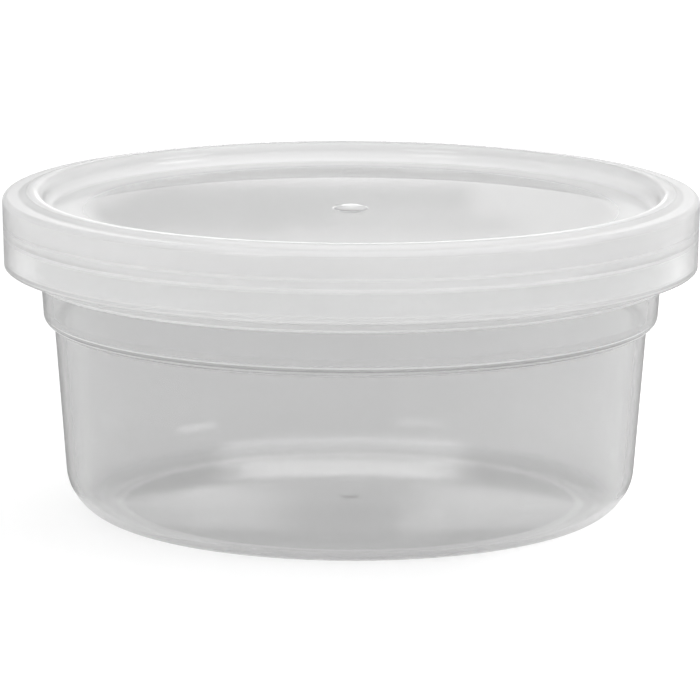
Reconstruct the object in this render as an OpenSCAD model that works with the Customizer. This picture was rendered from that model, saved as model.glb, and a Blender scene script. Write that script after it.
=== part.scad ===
// Round paint cup with a snap-fit lid, moulded in natural polypropylene.
// Millimetres, +Z up, origin at the centre of the base, on the surface it stands on.

/* [Cup] */
// Diameter over the wall where the foot rounding ends
foot_d = 82; // [80:0.5:83]
// Radius of the rounding between the wall and the base
foot_round = 6.8; // [5:0.1:8]
// Height that the middle of the base is domed up off the table
base_lift = 1.1; // [0.6:0.1:1.5]
// Width of the flat ring that the cup stands on
foot_ring_w = 1.6; // [1:0.1:3]
// Diameter of the body just under the stacking shoulder
shoulder_d = 85.2; // [84:0.1:86]
// Height of the underside of the stacking shoulder
shoulder_z = 27.7; // [24:0.1:30]
// Radius of the rounding on the shoulder's outer corner
shoulder_round = 1.3; // [1:0.1:1.4]
// Diameter of the neck just above the shoulder
neck_low_d = 88.1; // [88:0.1:88.4]
// Diameter of the neck just under the collar
neck_high_d = 89; // [88.6:0.1:89.4]
// Diameter of the collar that widens the mouth
collar_d = 91.8; // [91.4:0.1:92.2]
// Height of the collar's crisp lower edge
collar_z = 34.15; // [32:0.05:35]
// Height of the cup's rim
rim_z = 45.1; // [44:0.1:46]
// Diameter over the downturned lip of the rim
lip_d = 97.2; // [96.6:0.1:97.4]
// Depth of the lip below the top of the rim
lip_drop = 2.7; // [2:0.1:2.9]
// Thickness of the cup's wall, base and rim
cup_wall = 0.9; // [0.8:0.05:1]

/* [Lid] */
// Diameter over the lid's outer top edge
lid_d = 100; // [99.8:0.1:101]
// Diameter over the lower edge of the lid's skirt
skirt_low_d = 99.5; // [99.4:0.1:99.7]
// Length of the skirt below the outer top edge
skirt_len = 10; // [9:0.1:11]
// Radius of the outer top edge
edge_round = 0.85; // [0.5:0.05:0.9]
// Height of the raised ring above the outer top edge
crest_h = 0.55; // [0.3:0.05:0.8]
// Outer diameter of the raised ring's level top
crest_d = 93; // [92.6:0.1:93.4]
// Width of the slope outside the raised ring
crest_flank = 1.1; // [0.8:0.1:1.3]
// Depth of the recessed panel below the outer top edge
panel_drop = 2.2; // [2:0.1:2.4]
// Thickness of the lid's panel, plug and skirt
lid_wall = 0.85; // [0.75:0.05:0.9]
// Thickness of the lid where it lies on the cup's rim
land_t = 0.9; // [0.85:0.05:1]
// Diameter of the round gate mark in the middle of the panel
gate_d = 5.2; // [3:0.1:7]
// Height of the gate mark
gate_h = 0.45; // [0.2:0.05:0.6]

/* [Fit] */
// Radial clearance between the lid's plug and the cup's mouth
seal_gap = 0.05; // [0.03:0.01:0.1]
// Radial clearance between the snap bead and the cup's lip
snap_gap = 0.05; // [0.03:0.01:0.1]
// Depth of the snap bead on the inside of the skirt
bead_depth = 0.35; // [0.25:0.05:0.4]
// Height of the snap bead
bead_h = 1.6; // [1.4:0.1:2]
// Gap between the lip's lower edge and the snap bead
bead_gap = 0.05; // [0.03:0.01:0.2]
// Height of the lead-in taper at the skirt's lower edge
lead_h = 0.8; // [0.5:0.1:1.2]
// Depth of the lead-in taper
lead_depth = 0.35; // [0.2:0.05:0.4]

/* [Hidden] */

// Facets round the axis of every turned form
turn_facets = 180;
// Steps along a rounded corner of a section, and along the large and small ones
corner_steps = 8;
foot_steps = 12;
small_steps = 4;
// Steps from the middle of the domed base to its edge
dome_steps = 10;
// Rounding where two walls of the cup meet inside
inner_round = 0.4;
// Rounding of the rim's top corners and of the lip's lower edge
rim_round = 0.4;
// Step from the foot ring up to the edge of the domed base
step_w = 0.5;
step_h = 0.3;
// Underside gate mark on the cup, small enough to stay off the table
base_gate_r = 1.5;
base_gate_h = 0.3;

foot_r = foot_d / 2;
shoulder_r = shoulder_d / 2;
neck_low_r = neck_low_d / 2;
neck_high_r = neck_high_d / 2;
collar_r = collar_d / 2;
mouth_r = collar_r - cup_wall;
lip_r = lip_d / 2;
draft = atan((shoulder_r - foot_r) / (shoulder_z - foot_round));
foot_centre = [foot_r - foot_round * cos(draft), foot_round];
ring_outer_r = foot_centre[0];
ring_inner_r = ring_outer_r - foot_ring_w;
dome_r = ring_inner_r - step_w;
rim_under_z = rim_z - cup_wall;
lip_in_r = lip_r - cup_wall;
lip_low_z = rim_z - lip_drop;
ledge_z = shoulder_z + cup_wall;
ledge_r = shoulder_r - cup_wall;

lid_r = lid_d / 2;
edge_z = rim_z + land_t;
crest_z = edge_z + crest_h;
crest_r = crest_d / 2;
panel_z = edge_z - panel_drop;
skirt_z = edge_z - skirt_len;
plug_r = mouth_r - seal_gap;
recess_r = plug_r - lid_wall;
recess_round = (crest_z - panel_z) / 2;
plug_round = recess_round - lid_wall / 2;
gate_top_r = gate_d / 4;
bead_r = lip_r + snap_gap;
skirt_in_r = bead_r + bead_depth;
bead_top_z = lip_low_z - bead_gap;
bead_curve = (pow(bead_h / 2, 2) + pow(bead_depth, 2)) / (2 * bead_depth);
bead_angle = asin(bead_h / 2 / bead_curve);

// Points along an arc about c, from angle a to angle b
function arc(c, r, a, b, n = corner_steps) =
    [for (i = [0:n]) c + r * [cos(a + (b - a) * i / n), sin(a + (b - a) * i / n)]];

// Points along a half-cosine slope from p to q, level at both ends
function ease(p, q, n = corner_steps) =
    [for (i = [0:n]) [p[0] + (q[0] - p[0]) * i / n, p[1] + (q[1] - p[1]) * (1 - cos(180 * i / n)) / 2]];

// Points along the domed base, raised by h, from its middle to its edge
function dome(h, first = 0) =
    [for (i = [first:dome_steps])
        [dome_r * i / dome_steps, h + step_h + (base_lift - step_h) * (1 - pow(i / dome_steps, 2))]];

// Outside of the cup, from the middle of the base up to the collar
function cup_outside() = concat(
    [[0, base_lift - base_gate_h], [base_gate_r, base_lift]],
    dome(0, 1), [[ring_inner_r, 0]],
    arc(foot_centre, foot_round, -90, -draft, foot_steps),
    [[shoulder_r, shoulder_z]],
    arc([neck_low_r - shoulder_round, shoulder_z + shoulder_round], shoulder_round, -90, 0),
    [[neck_high_r, collar_z], [collar_r, collar_z]]
);

// Rim: up the collar, out to the lip, round its edge and back in to the mouth
function cup_rim() = concat(
    arc([collar_r + inner_round, rim_under_z - inner_round], inner_round, 180, 90, small_steps),
    arc([lip_in_r - inner_round, rim_under_z - inner_round], inner_round, 90, 0, small_steps),
    arc([lip_in_r + rim_round, lip_low_z + rim_round], rim_round, 180, 270, small_steps),
    arc([lip_r - rim_round, lip_low_z + rim_round], rim_round, -90, 0, small_steps),
    arc([lip_in_r, rim_under_z], cup_wall, 0, 90),
    arc([mouth_r + rim_round, rim_z - rim_round], rim_round, 90, 180, small_steps)
);

// Inside of the cup, from the mouth down to the middle of the floor
function cup_inside() = concat(
    [[mouth_r, collar_z + cup_wall], [neck_high_r - cup_wall, collar_z + cup_wall]],
    arc([neck_low_r - shoulder_round, shoulder_z + shoulder_round], inner_round, 0, -90, small_steps),
    arc([ledge_r + inner_round, ledge_z - inner_round], inner_round, 90, 180, small_steps),
    arc(foot_centre, foot_round - cup_wall, -draft, -90, foot_steps),
    [[ring_inner_r, cup_wall]],
    let (floor_line = dome(cup_wall)) [for (i = [dome_steps:-1:0]) floor_line[i]]
);

// Underside of the lid: panel, plug and the channel that holds the cup's rim
function lid_underside() = concat(
    [[0, panel_z - lid_wall]],
    arc([plug_r - plug_round, panel_z - lid_wall + plug_round], plug_round, -90, 0),
    [[plug_r, rim_z], [skirt_in_r, rim_z]],
    arc([bead_r + bead_curve, bead_top_z - bead_h / 2], bead_curve, 180 - bead_angle, 180 + bead_angle),
    [[skirt_in_r, skirt_z + lead_h], [skirt_in_r + lead_depth, skirt_z]]
);

// Outside of the lid: skirt, edge, raised ring, recess wall and the gate mark
function lid_outside() = concat(
    [[skirt_low_d / 2, skirt_z]],
    arc([lid_r - edge_round, edge_z - edge_round], edge_round, 0, 90),
    ease([crest_r + crest_flank, edge_z], [crest_r, crest_z]),
    arc([recess_r + recess_round, crest_z - recess_round], recess_round, 90, 180),
    arc([recess_r - recess_round, panel_z + recess_round], recess_round, 0, -90),
    [[gate_d / 2, panel_z]],
    ease([gate_d / 2, panel_z], [gate_top_r, panel_z + gate_h], small_steps),
    [[0, panel_z + gate_h]]
);

module cup()
    color([0.80, 0.81, 0.81, 0.55])
        rotate_extrude($fn = turn_facets)
            polygon(concat(cup_outside(), cup_rim(), cup_inside()));

module lid()
    color([0.90, 0.91, 0.90, 0.65])
        rotate_extrude($fn = turn_facets)
            polygon(concat(lid_underside(), lid_outside()));

cup();
lid();
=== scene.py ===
import math
import bpy
from mathutils import Matrix, Vector


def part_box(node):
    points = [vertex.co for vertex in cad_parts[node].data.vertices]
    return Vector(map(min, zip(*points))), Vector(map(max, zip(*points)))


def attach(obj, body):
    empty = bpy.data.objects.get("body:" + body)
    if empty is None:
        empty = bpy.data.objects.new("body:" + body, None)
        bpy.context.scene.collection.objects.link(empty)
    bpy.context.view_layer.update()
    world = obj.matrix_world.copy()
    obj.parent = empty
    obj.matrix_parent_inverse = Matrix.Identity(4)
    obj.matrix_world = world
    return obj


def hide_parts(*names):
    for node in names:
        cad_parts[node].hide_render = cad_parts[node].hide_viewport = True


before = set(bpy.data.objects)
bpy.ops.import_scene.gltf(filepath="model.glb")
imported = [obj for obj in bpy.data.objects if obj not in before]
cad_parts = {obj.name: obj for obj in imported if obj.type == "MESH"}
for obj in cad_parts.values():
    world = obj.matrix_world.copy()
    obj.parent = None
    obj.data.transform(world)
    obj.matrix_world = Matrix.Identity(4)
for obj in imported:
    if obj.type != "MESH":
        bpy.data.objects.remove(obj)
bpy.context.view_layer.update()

# Camera
# A long lens looks down at the closed cup from a little above its lid, as for a catalogue picture.
# Its place, turn and focal length were fitted to the outline of the lid, the shoulder and the base.
MM = 0.001
camera_distance = 806.6 * MM
camera_height = 175.6 * MM
aim_height = 46 * MM
camera_pitch = 0.18925
camera_yaw = 0.0001
camera_roll = 0.0042
focal_length_px = 5623.3
picture_width_px = 700

camera_data = bpy.data.cameras.new("camera")
camera_data.sensor_width = 36
camera_data.lens = camera_data.sensor_width * focal_length_px / picture_width_px
camera_data.clip_end = 50
camera = bpy.data.objects.new("camera", camera_data)
bpy.context.scene.collection.objects.link(camera)
camera_reach = math.sqrt(camera_distance**2 - (camera_height - aim_height)**2)
camera.matrix_world = (
    Matrix.Translation((0, -camera_reach, camera_height))
    @ Matrix.Rotation(camera_yaw, 4, "Z")
    @ Matrix.Rotation(math.pi / 2 - camera_pitch, 4, "X")
    @ Matrix.Rotation(camera_roll, 4, "Z")
)
bpy.context.scene.camera = camera
bpy.context.scene.view_settings.view_transform = "Standard"

# Cup
# A shallow tub, injection moulded in natural polypropylene about 0.9 mm thick. The wall widens at the
# stacking shoulder and again at the collar, and ends in a rim that turns out and down into a lip.
# The base is one smooth dome inside the flat ring that the cup stands on.
wall = 0.9 * MM
foot_r = 41 * MM
foot_round = 6.8 * MM
shoulder_r = 42.6 * MM
shoulder_z = 27.7 * MM
shoulder_round = 1.3 * MM
neck_low_r = 44.05 * MM
neck_high_r = 44.5 * MM
collar_r = 45.9 * MM
collar_z = 34.15 * MM
lip_r = 48.6 * MM
lip_drop = 2.7 * MM
rim_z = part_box("cup")[1][2]
mouth_r = collar_r - wall
base_lift = 1.1 * MM
ring_inner_r = 32.62 * MM
floor_r = 34 * MM
base_gate_r = 1.5 * MM
base_gate_depth = 0.3 * MM
draft = (shoulder_r - foot_r) / (shoulder_z - foot_round)
crisp = 0.12 * MM
soft = 0.4 * MM


def rounded(corners, sharpest=0.1 * MM, step=math.radians(6), span=3 * MM, hold=0.12 * MM):
    """The outline through corners of (radius, height, rounding), with arcs in place of the corners.

    Straight stretches longer than span are divided, and start and end with a short piece, hold, that
    keeps the smooth shading of the arcs off them.
    """
    points = [Vector(corners[0][:2])]
    for before, here, after in zip(corners, corners[1:], corners[2:]):
        a, b, c = (Vector(p[:2]) for p in (before, here, after))
        into, out = (b - a).normalized(), (c - b).normalized()
        turn = math.atan2(into.x * out.y - into.y * out.x, into.dot(out))
        size = here[2] if len(here) > 2 else sharpest
        reach = size * math.tan(abs(turn) / 2)
        centre = b - into * reach + Vector((-into.y, into.x)) * math.copysign(size, turn)
        spoke = b - into * reach - centre
        steps = max(2, math.ceil(abs(turn) / step))
        points += [centre + Matrix.Rotation(turn * i / steps, 2) @ spoke for i in range(steps + 1)]
    points.append(Vector(corners[-1][:2]))
    outline = [points[0]]
    for a, b in zip(points, points[1:]):
        length = (b - a).length
        if length < span:
            outline.append(b)
            continue
        inner = max(1, math.ceil((length - 2 * hold) / span))
        stops = [hold + (length - 2 * hold) * i / inner for i in range(inner + 1)] + [length]
        outline += [a + (b - a) * stop / length for stop in stops]
    return outline


def dome(edge_r, edge_z, middle_z, first=0, steps=12):
    """The corners of a dome from its middle to its edge, nearly smooth all the way."""
    inner = [(edge_r * i / steps, edge_z + (middle_z - edge_z) * (1 - (i / steps)**2), 20 * MM)
             for i in range(first, steps)]
    return inner + [(edge_r, edge_z, 0.5 * MM)]


class Tree:
    """Adds nodes to a tree. An input is named with _ for each space, or i0, i1 ... by its number."""

    def __init__(self, tree):
        self.tree = tree

    def node(self, kind, settings=None, **inputs):
        made = self.tree.nodes.new(kind)
        for name, value in (settings or {}).items():
            setattr(made, name, value)
        for name, value in inputs.items():
            key = int(name[1:]) if name[1:].isdigit() and name[0] == "i" else name.replace("_", " ")
            socket = made.inputs[key]
            if isinstance(value, Value):
                value = value.socket
            if isinstance(value, bpy.types.NodeSocket):
                self.tree.links.new(value, socket)
            else:
                socket.default_value = value
        return made

    def value(self, kind, settings=None, out=0, **inputs):
        return Value(self, self.node(kind, settings, **inputs).outputs[out])


class Value:
    """A socket that carries a number, with the operators that add Math nodes."""

    def __init__(self, maker, socket):
        self.maker = maker
        self.socket = socket

    def math(self, operation, *others):
        inputs = {f"i{n}": other for n, other in enumerate((self, *others))}
        return self.maker.value("ShaderNodeMath", {"operation": operation}, **inputs)

    def __add__(self, other):
        return self.math("ADD", other)

    def __mul__(self, other):
        return self.math("MULTIPLY", other)

    def __sub__(self, other):
        return self.math("SUBTRACT", other)

    def __truediv__(self, other):
        return self.math("DIVIDE", other)

    def __rsub__(self, other):
        return (self * -1.0) + other

    __radd__ = __add__
    __rmul__ = __mul__


def lathe_tree(material):
    """Geometry nodes that turn a section, drawn as a chain of points in XZ, about the Z axis."""
    group = bpy.data.node_groups.new("lathe_" + material.name, "GeometryNodeTree")
    face = group.interface
    face.new_socket("Section", in_out="INPUT", socket_type="NodeSocketGeometry")
    face.new_socket("Steps Round", in_out="INPUT", socket_type="NodeSocketInt")
    face.new_socket("Merge Distance", in_out="INPUT", socket_type="NodeSocketFloat")
    face.new_socket("Body", in_out="OUTPUT", socket_type="NodeSocketGeometry")
    t = Tree(group)
    given = t.node("NodeGroupInput").outputs
    section = given["Section"]
    steps = Value(t, given["Steps Round"])
    count = t.node("GeometryNodeAttributeDomainSize", Geometry=section).outputs["Point Count"]
    ring = steps + 1
    grid = t.node("GeometryNodeMeshGrid", Vertices_X=count, Vertices_Y=ring)
    index = t.value("GeometryNodeInputIndex")
    along = (index / ring).math("FLOOR")
    angle = (index - along * ring) / steps * -math.tau
    position = t.node("GeometryNodeInputPosition").outputs[0]
    sample = t.node("GeometryNodeSampleIndex", {"data_type": "FLOAT_VECTOR", "domain": "POINT"},
                    Geometry=section, Value=position, Index=along)
    split = t.node("ShaderNodeSeparateXYZ", Vector=sample.outputs[0]).outputs
    radius = Value(t, split["X"])
    spot = t.node("ShaderNodeCombineXYZ", X=radius * angle.math("COSINE"),
                  Y=radius * angle.math("SINE"), Z=split["Z"])
    turned = t.node("GeometryNodeSetPosition", Geometry=grid.outputs["Mesh"], Position=spot.outputs[0])
    merged = t.node("GeometryNodeMergeByDistance", Geometry=turned.outputs[0],
                    Distance=given["Merge Distance"])
    smooth = t.node("GeometryNodeSetShadeSmooth", Geometry=merged.outputs[0])
    real = t.node("GeometryNodeRealizeInstances", Geometry=smooth.outputs[0])
    painted = t.node("GeometryNodeSetMaterial", Geometry=real.outputs[0], Material=material)
    t.node("NodeGroupOutput", Body=painted.outputs[0])
    return group


def turned_piece(name, outline, material, steps=256, merge=0.002 * MM):
    """A plain mesh object with the outline turned about the Z axis."""
    section = bpy.data.meshes.new(name + "_section")
    edges = [(i, i + 1) for i in range(len(outline) - 1)]
    section.from_pydata([(p.x, 0, p.y) for p in outline], edges, [])
    piece = bpy.data.objects.new(name, section)
    bpy.context.scene.collection.objects.link(piece)
    group = lathe_tree(material)
    modifier = piece.modifiers.new("lathe", "NODES")
    modifier.node_group = group
    settings = {"Steps Round": steps, "Merge Distance": merge}
    for item in group.interface.items_tree:
        if item.name in settings:
            modifier[item.identifier] = settings[item.name]
    evaluated = piece.evaluated_get(bpy.context.evaluated_depsgraph_get())
    mesh = bpy.data.meshes.new_from_object(evaluated)
    mesh.name = name
    piece.modifiers.clear()
    piece.data = mesh
    bpy.data.meshes.remove(section)
    return piece


def place(t):
    """The distance from the axis and the height on a piece, both in millimetres."""
    spot = t.node("ShaderNodeTexCoord").outputs["Object"]
    spot = t.node("ShaderNodeVectorMath", {"operation": "SCALE"}, i0=spot, Scale=1 / MM).outputs[0]
    split = t.node("ShaderNodeSeparateXYZ", Vector=spot).outputs
    flat = t.node("ShaderNodeVectorMath", {"operation": "MULTIPLY"}, i0=spot, i1=(1, 1, 0)).outputs[0]
    reach = t.node("ShaderNodeVectorMath", {"operation": "LENGTH"}, i0=flat).outputs["Value"]
    return Value(t, reach), Value(t, split["Z"])


def rise(value, low, high, top=1.0):
    """Goes smoothly from 0 to top while value goes from low to high."""
    return value.maker.value("ShaderNodeMapRange", {"interpolation_type": "SMOOTHSTEP"}, Value=value,
                             From_Min=low, From_Max=high, To_Min=0.0, To_Max=top)


def near(value, middle, reach, fade=0.15):
    """1 where value lies within reach of middle, and 0 a little further out."""
    return 1.0 - rise((value - middle).math("ABSOLUTE"), reach, reach + fade)


def grey(level):
    return (level, level, level, 1)


def polypropylene(name, look, clear, blur, milk, painted_edge_shade, edge_haze, haze_gloss, haze_cover, shadow):
    """Natural polypropylene: part of the light is bent and blurred on its way through, part scattered.

    look gives the haze, which is the scattered share, and the painted light: how far its colour goes from
    milk to white, as painted highlights and glow. clear and blur are for the bent light. Where the wall
    turns away at the outline, edge_haze fills the haze up and its colour goes to painted_edge_shade, a
    darker grey that is painted shade along the outline. Haze blurs the gloss by haze_gloss and hides it
    by haze_cover. shadow is the share of a lamp's light that comes through to the table.
    """
    index = 1.49
    white = 0.95
    skin_roughness = 0.03
    through_share = 0.35
    material = bpy.data.materials.new(name)
    material.use_nodes = True
    material.node_tree.nodes.clear()
    t = Tree(material.node_tree)
    bent = t.node("ShaderNodeBsdfRefraction", Color=grey(clear), Roughness=blur, IOR=index).outputs[0]
    facing = t.value("ShaderNodeLayerWeight", out=1, Blend=0.5)
    normal = t.node("ShaderNodeTexCoord").outputs["Normal"]
    level = Value(t, t.node("ShaderNodeSeparateXYZ", Vector=normal).outputs["Z"]).math("ABSOLUTE")
    outline = rise(facing, 0.62, 0.95) * (1.0 - rise(level, 0.25, 0.5))
    radius, height = place(t)
    haze, painted_light = look(radius, height)
    haze = haze + (1.0 - haze) * outline * edge_haze
    # Painted highlights and glow: the colour is lifted from milk towards white where look asks for it.
    colour = t.node("ShaderNodeMix", {"data_type": "RGBA"},
                    i0=painted_light, i6=grey(milk), i7=grey(white)).outputs[2]
    # Painted shade: along the outline the colour goes to a darker grey.
    colour = t.node("ShaderNodeMix", {"data_type": "RGBA"},
                    i0=outline, i6=colour, i7=grey(painted_edge_shade)).outputs[2]
    scatter = t.node("ShaderNodeBsdfPrincipled", Base_Color=colour, Roughness=0.5,
                     Specular_IOR_Level=0.0).outputs[0]
    through = t.node("ShaderNodeBsdfTranslucent", Color=grey(milk)).outputs[0]
    cloud = t.node("ShaderNodeMixShader", i0=through_share, i1=scatter, i2=through).outputs[0]
    inside = t.node("ShaderNodeMixShader", i0=haze, i1=bent, i2=cloud).outputs[0]
    skin = t.value("ShaderNodeFresnel", IOR=index) * (1.0 - haze * haze_cover) * (1.0 - outline)
    shine = t.node("ShaderNodeBsdfGlossy", Color=grey(1),
                   Roughness=rise(haze, 0.2, 0.5, haze_gloss) + skin_roughness).outputs[0]
    body = t.node("ShaderNodeMixShader", i0=skin, i1=inside, i2=shine).outputs[0]
    lamp_way = t.node("ShaderNodeBsdfTransparent", Color=grey(shadow)).outputs[0]
    shadow_ray = t.node("ShaderNodeLightPath").outputs["Is Shadow Ray"]
    whole = t.node("ShaderNodeMixShader", i0=shadow_ray, i1=body, i2=lamp_way).outputs[0]
    t.node("ShaderNodeOutputMaterial", Surface=whole)
    return material


def cup_look(radius, height):
    """Haze and painted light of the wall. The haze grows where the wall turns, with more plastic in the
    way.
    The painted light lifts the colour as painted highlights on the collar and shoulder bands and as a
    painted glow over the rim. The extra haze low on the foot is partly its thicker plastic and partly
    painted shade by the table.
    """
    over_shoulder = height - shoulder_z / MM
    over_collar = height - collar_z / MM
    # Painted light: a glow on the rim, highlights on the collar, shoulder and turn; painted shade on the
    # foot.
    rim = rise(over_collar, -0.05, 0.45)
    foot = (1.0 - rise(height, 0.4, 2.6)) * rise(radius, 30.0, 40.0)
    collar = near(over_collar, 0.09, 0.2)
    shoulder = (near(over_shoulder, 0.42, 0.1, 0.1) + near(over_shoulder, 1.2, 0.05, 0.08) * 0.6
                + near(over_shoulder, 1.6, 0.6, 0.3) * 0.2)
    turn = near(over_shoulder, 0.5, 0.7, 0.2) * 0.35
    haze = 0.14 + (collar + shoulder + turn).math("MINIMUM", 1.0) * 0.86 + rim * 0.3 + foot * 0.4
    # Painted highlights and glow: how far the colour is lifted towards white.
    painted_light = (collar + shoulder * 1.2 + turn).math("MINIMUM", 1.0) + rim * 0.9
    return haze, painted_light


cup_outline = rounded([
    (0, base_lift - base_gate_depth),
    (base_gate_r, base_lift, 0.5 * MM),
    *dome(ring_inner_r, 0, base_lift, 1),
    (foot_r - draft * foot_round, 0, foot_round),
    (shoulder_r, shoulder_z, crisp),
    (neck_low_r, shoulder_z, shoulder_round),
    (neck_high_r, collar_z, crisp),
    (collar_r, collar_z, crisp),
    (collar_r, rim_z - wall, soft),
    (lip_r - wall, rim_z - wall, soft),
    (lip_r - wall, rim_z - lip_drop, 0.42 * MM),
    (lip_r, rim_z - lip_drop, 0.42 * MM),
    (lip_r, rim_z, 0.85 * MM),
    (mouth_r, rim_z, soft),
    (mouth_r, collar_z + wall, crisp),
    (neck_high_r - wall, collar_z + wall, crisp),
    (neck_low_r - wall, shoulder_z + wall, soft),
    (shoulder_r - wall, shoulder_z + wall, soft),
    (foot_r - wall - draft * (foot_round - wall), wall, foot_round - wall),
    *reversed(dome(floor_r, wall, wall + base_lift)),
])
cup_plastic = polypropylene("cup_plastic", cup_look, clear=0.86, blur=0.08, milk=0.6, painted_edge_shade=0.55,
                            edge_haze=0.85, haze_gloss=0.08, haze_cover=0.55, shadow=0.88)
cup = turned_piece("moulded_cup", cup_outline, cup_plastic)
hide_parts("cup")
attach(cup, "cup")

# Lid
# Injection moulded in the same plastic, a little milkier. A deep skirt snaps over the rim, a raised
# ring stiffens the edge, and the panel is sunk inside it, with the gate mark of the mould at its centre.
lid_wall = 0.85 * MM
crest_h = 0.55 * MM
lid_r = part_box("lid")[1][0]
crest_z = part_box("lid")[1][2]
skirt_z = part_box("lid")[0][2]
edge_z = crest_z - crest_h
edge_round = 0.85 * MM
skirt_low_r = 49.75 * MM
crest_r = 46.5 * MM
crest_flank = 1.1 * MM
panel_z = edge_z - 2.2 * MM
seal_gap = 0.05 * MM
plug_r = mouth_r - seal_gap
recess_r = plug_r - lid_wall
recess_round = 1.37 * MM
skirt_in_r = 49 * MM
bead_depth = 0.35 * MM
bead_z = 41.55 * MM
bead_h = 1.6 * MM
lead_h = 0.8 * MM
lead_depth = 0.35 * MM
mark_r = 2.6 * MM
mark_top_r = 1.43 * MM
mark_h = 0.45 * MM


def lid_look(radius, height):
    """Haze and painted light: little in the panel, one thin wall, and more in the rim and skirt round it.
    The painted light gives painted highlights on thin lines of the skirt, on the crest and on the gate
    mark, and a painted glow in the recess; the upper skirt is lighter and hazier towards its top.
    """
    over_edge = height - edge_z / MM
    # Painted light: highlights on the lines, the crest (land) and the gate mark, a glow in the recess.
    rim = rise(radius, 42.4, 43.6)
    mark = 1.0 - rise(radius, 2.0, 2.8)
    lines = (near(over_edge, -3.8, 0.1, 0.2) + near(over_edge, -5.35, 0.12, 0.2)
             + near(over_edge, -9.0, 0.05) * 0.4 + near(over_edge, -9.65, 0.05) * 0.4)
    land = rise(radius, 46.2, 46.8) * rise(over_edge, -1.0, -0.4)
    upper = rise(over_edge, -5.9, -5.6)
    recess = rise(radius, 35.5, 41.0) * (1.0 - rise(radius, 44.6, 46.6))
    recess = recess * rise(over_edge, -4.0, -2.5)
    haze = 0.22 + rim * (0.1 + upper * 0.16 + lines * 0.4 + land * 0.35) + recess * 0.3 + mark * 0.3
    # Painted highlights and glow, and the lighter upper skirt: how far the colour is lifted towards
    # white.
    painted_light = rim * (upper * 0.25 + lines + land * 0.6) + recess * 0.5 + mark * 0.5
    return haze, painted_light


lid_outline = rounded([
    (0, panel_z - lid_wall),
    (plug_r, panel_z - lid_wall, 0.95 * MM),
    (plug_r, rim_z, 0.05 * MM),
    (skirt_in_r, rim_z),
    (skirt_in_r, bead_z + bead_h / 2, 0.2 * MM),
    (skirt_in_r - bead_depth, bead_z + bead_h / 4, 0.3 * MM),
    (skirt_in_r - bead_depth, bead_z - bead_h / 4, 0.3 * MM),
    (skirt_in_r, bead_z - bead_h / 2, 0.2 * MM),
    (skirt_in_r, skirt_z + lead_h, 0.3 * MM),
    (skirt_in_r + lead_depth, skirt_z),
    (skirt_low_r, skirt_z, crisp),
    (lid_r, edge_z, edge_round),
    (crest_r + crest_flank, edge_z, 1.2 * MM),
    (crest_r, crest_z, 0.8 * MM),
    (recess_r, crest_z, recess_round),
    (recess_r, panel_z, recess_round),
    (mark_r, panel_z, 0.5 * MM),
    (mark_top_r, panel_z + mark_h, 0.6 * MM),
    (0, panel_z + mark_h),
])
lid_plastic = polypropylene("lid_plastic", lid_look, clear=0.96, blur=0.18, milk=0.88, painted_edge_shade=0.56,
                            edge_haze=0.8, haze_gloss=0.12, haze_cover=0.7, shadow=0.85)
lid = turned_piece("moulded_lid", lid_outline, lid_plastic)
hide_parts("lid")
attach(lid, "lid")

# Studio
# A wide pale table with three soft lamps: a large one above, one from the right and one from the left.
# Cards behind the cup, and a patch of light on the table at its back, are what the plastic mirrors and
# bends. The table's own glow is only for rays that see it, so it puts no light on the object.
def soft_lamp(name, middle, side, power):
    data = bpy.data.lights.new(name, "AREA")
    data.shape = "SQUARE"
    data.size = side
    data.energy = power
    lamp = bpy.data.objects.new(name, data)
    aim = (-Vector(middle)).to_track_quat("-Z", "Y")
    lamp.matrix_world = Matrix.Translation(middle) @ aim.to_matrix().to_4x4()
    bpy.context.scene.collection.objects.link(lamp)


soft_lamp("top_softbox", (0, 0.1, 0.9), 0.9, 3.6)
soft_lamp("right_softbox", (1.0, -0.35, 0.38), 0.4, 4.2)
soft_lamp("left_softbox", (-0.55, -0.85, 0.46), 0.4, 4.2)

table_half = 6.0
table_corners = [(x * table_half, y * table_half, 0) for x, y in ((-1, -1), (1, -1), (1, 1), (-1, 1))]
table_mesh = bpy.data.meshes.new("table")
table_mesh.from_pydata(table_corners, [], [(0, 1, 2, 3)])
table = bpy.data.objects.new("table", table_mesh)
bpy.context.scene.collection.objects.link(table)

table_white = bpy.data.materials.new("table_white")
table_white.use_nodes = True
table_white.node_tree.nodes.clear()
t = Tree(table_white.node_tree)
rays = t.node("ShaderNodeLightPath").outputs
seen = Value(t, rays["Is Camera Ray"]).math("MAXIMUM", rays["Is Glossy Ray"])
seen = seen.math("MAXIMUM", rays["Is Transmission Ray"])
spot = t.node("ShaderNodeTexCoord").outputs["Object"]
split = t.node("ShaderNodeSeparateXYZ", Vector=spot).outputs
sideways, backwards = Value(t, split["X"]) / MM, Value(t, split["Y"]) / MM
distance = place(t)[0]
# Painted light on the table: a pool of glow behind the cup, and glow lifted towards the right.
patch = near(distance, 38.0, 8.0, 3.0) * near(sideways, -1.0, 16.0, 5.0) * rise(backwards, 0.0, 10.0)
glow = seen * (0.52 + rise(distance, 120, 600, 0.25) + rise(sideways, 10, 40, 0.15) + patch * 0.55)
matte = t.node("ShaderNodeBsdfDiffuse", Color=grey(0.55)).outputs[0]
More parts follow.
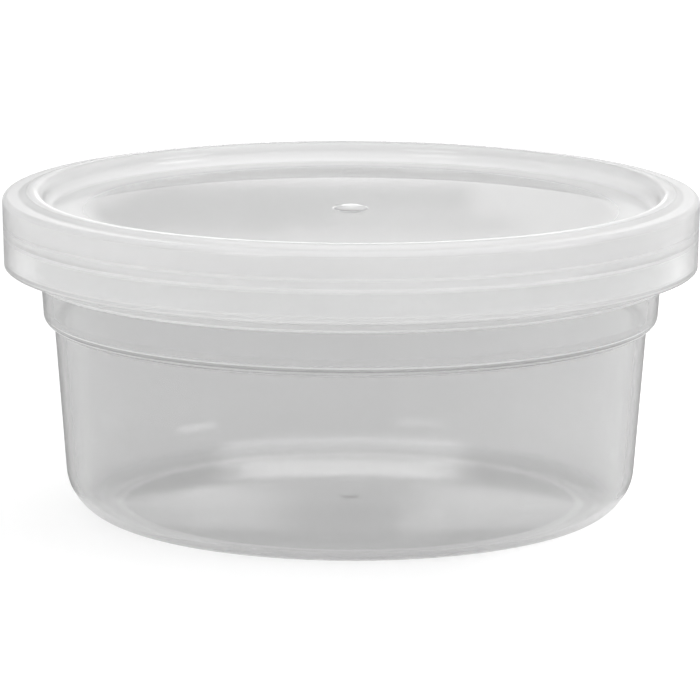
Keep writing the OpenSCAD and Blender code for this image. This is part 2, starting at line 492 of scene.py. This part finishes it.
shining = t.node("ShaderNodeEmission", Color=grey(1), Strength=glow).outputs[0]
both = t.node("ShaderNodeAddShader", i0=matte, i1=shining).outputs[0]
t.node("ShaderNodeOutputMaterial", Surface=both)
table_mesh.materials.append(table_white)

world = bpy.data.worlds.new("studio")
world.use_nodes = True
world.node_tree.nodes.clear()
t = Tree(world.node_tree)
direction = t.node("ShaderNodeTexCoord").outputs["Generated"]
way = t.node("ShaderNodeSeparateXYZ", Vector=direction).outputs
behind = rise(Value(t, way["Y"]), 0.0, 0.3)
across = Value(t, way["X"]) / way["Y"] * math.degrees(1)
up = Value(t, way["Z"]).math("ARCSINE") * math.degrees(1)


def card(middle, half, fade, slant=0.0):
    """A card of the backdrop, each size given as (across, up) in degrees. A slant leans it sideways."""
    leaning = across - (middle[1] - up) * slant
    return near(up, middle[1], half[1], fade[1]) * near(leaning, middle[0], half[0], fade[0])


dark_card = card((-1.35, 9.41), (1.1, 0.21), (0.3, 0.07), slant=2.5)
dark_card = dark_card.math("MAXIMUM", card((0.2, 9.29), (0.9, 0.09), (0.3, 0.06)))
dark_card = dark_card.math("MAXIMUM", card((0.6, 9.55), (0.95, 0.03), (0.4, 0.05)))
floor_card = card((-0.1, 4.3), (2.2, 4.15), (0.2, 0.15))
side_cards = rise(across.math("ABSOLUTE"), 0.8, 2.4) * card((0.0, 15.0), (8.0, 4.0), (1.0, 1.0))
left_end = 1.0 - rise(across, -3.5, -3.3)
horizon = near(up, 8.68, 0.08, 0.06)
far_card = near(up, 8.98, 0.05, 0.08)
bright_wall = near(up, 11.4, 2.52, 0.04)
ceiling = rise(up, 27.0, 31.0, 0.3) - rise(up, 18.0, 22.0, 0.3)
backdrop = (0.74 + bright_wall * 0.35 + far_card * 1.1 + floor_card * 2.4 + side_cards * 1.1 + ceiling
            - horizon * 0.5 - dark_card * 0.42 - left_end * 0.3)
room = 0.42
light = t.node("ShaderNodeBackground", Color=grey(1), Strength=room + behind * (backdrop - room))
t.node("ShaderNodeOutputWorld", Surface=light.outputs[0])
bpy.context.scene.world = world
